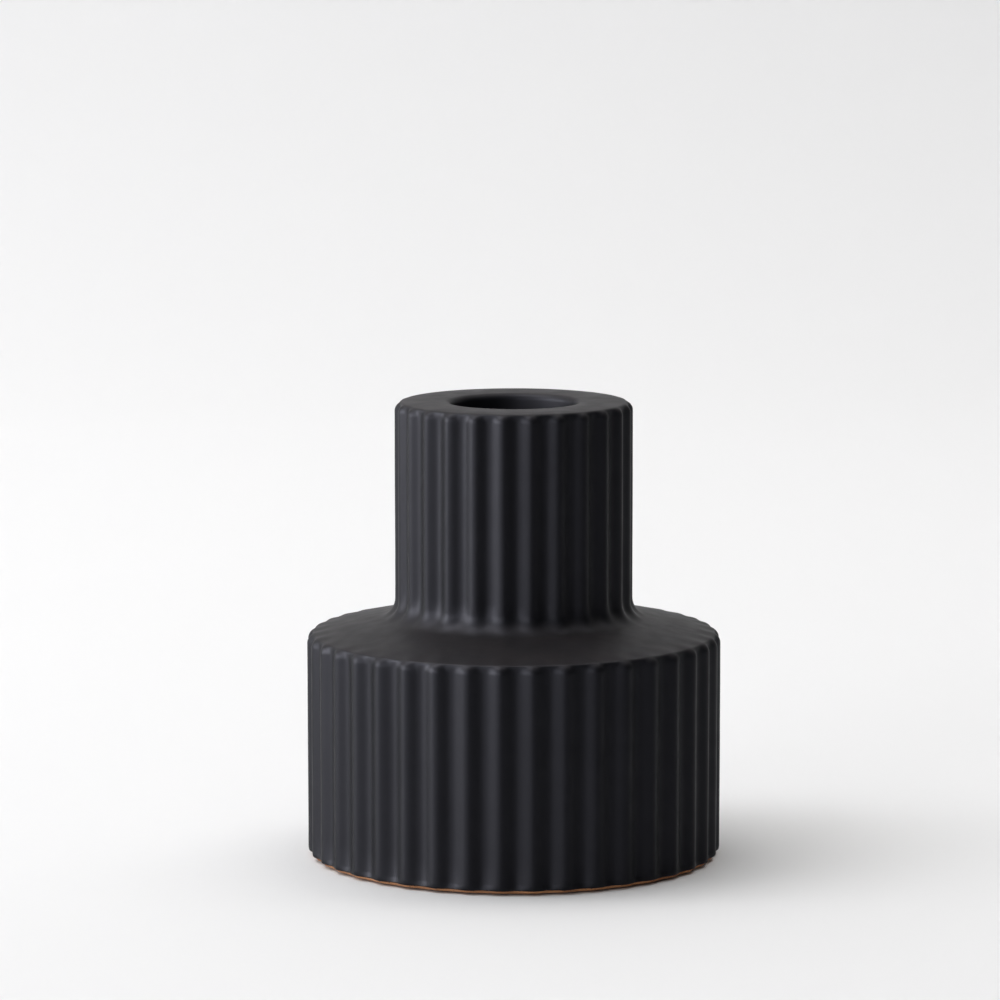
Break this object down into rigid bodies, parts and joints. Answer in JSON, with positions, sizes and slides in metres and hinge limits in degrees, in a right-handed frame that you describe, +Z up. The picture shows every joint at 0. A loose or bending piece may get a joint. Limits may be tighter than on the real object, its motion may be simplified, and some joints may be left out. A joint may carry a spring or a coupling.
{
  "type": "taper candle holder",
  "caption": "Ribbed ceramic taper candle holder: wide fluted drum base, narrower fluted neck and a round blind socket in the rim.",
  "frame": {"origin": "centre of the pad's underside, on the surface the holder stands on", "axes": "+Z up along the axis of the casting and of the candle socket; the X and Y directions are free, because the holder looks the same from every side"},
  "size_m": [0.0748, 0.0748, 0.0828],
  "materials": {
    "fired_clay": "bare fired orange-buff stoneware, rough and unglazed",
    "matte_glaze": "satin-matte black glaze, slightly broken to brown-grey on the level faces",
    "pad_felt": "dark pressed felt",
    "adhesive_film": "milky double-sided film"
  },
  "bodies": {
    "root": {"stoneware_body": "fired_clay", "glaze_coat": "matte_glaze", "base_pad": "pad_felt", "pad_adhesive": "adhesive_film"}
  },
  "joints": []
}
